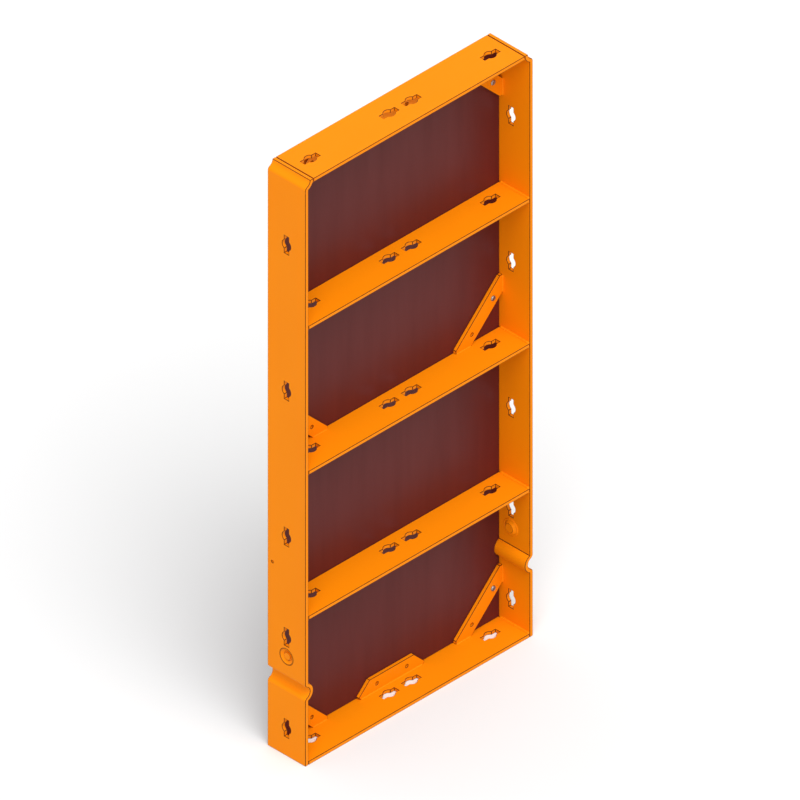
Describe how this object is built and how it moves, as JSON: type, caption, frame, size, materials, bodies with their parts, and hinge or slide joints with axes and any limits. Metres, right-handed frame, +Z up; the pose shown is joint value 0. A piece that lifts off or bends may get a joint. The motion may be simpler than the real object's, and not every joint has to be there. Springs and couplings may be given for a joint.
{
  "type": "concrete formwork panel",
  "caption": "Upright steel-framed panel with cross ribs and key slots on its open side and a flush plywood face that shapes poured concrete.",
  "frame": {"origin": "middle of the panel's footprint, on the plane it stands on", "axes": "+Z up the panel, +X across its width, +Y out of the plywood face towards the concrete; the ribs are open to -Y"},
  "size_m": [0.45, 0.075, 1],
  "materials": {
    "orange_paint": "semi-gloss powder coat",
    "film_faced_plywood": "phenolic film, smooth and slightly glossy",
    "sealant": "matt",
    "zinc_plate": "bright zinc plate"
  },
  "bodies": {
    "root": {"left_stile": "orange_paint", "right_stile": "orange_paint", "top_rail": "orange_paint", "bottom_rail": "orange_paint", "upper_rib": "orange_paint", "middle_rib": "orange_paint", "lower_rib": "orange_paint", "left_bush": "orange_paint", "right_bush": "orange_paint", "top_left_plate": "orange_paint", "top_centre_plate": "orange_paint", "top_right_plate": "orange_paint", "middle_left_plate": "orange_paint", "middle_right_plate": "orange_paint", "bottom_left_plate": "orange_paint", "bottom_centre_plate": "orange_paint", "bottom_right_plate": "orange_paint", "plywood_sheet": "film_faced_plywood", "edge_seal": "sealant", "top_left_screw": "zinc_plate", "top_right_screw": "zinc_plate", "middle_left_screw": "zinc_plate", "middle_right_screw": "zinc_plate", "bottom_left_screw": "zinc_plate", "bottom_right_screw": "zinc_plate"}
  },
  "joints": []
}
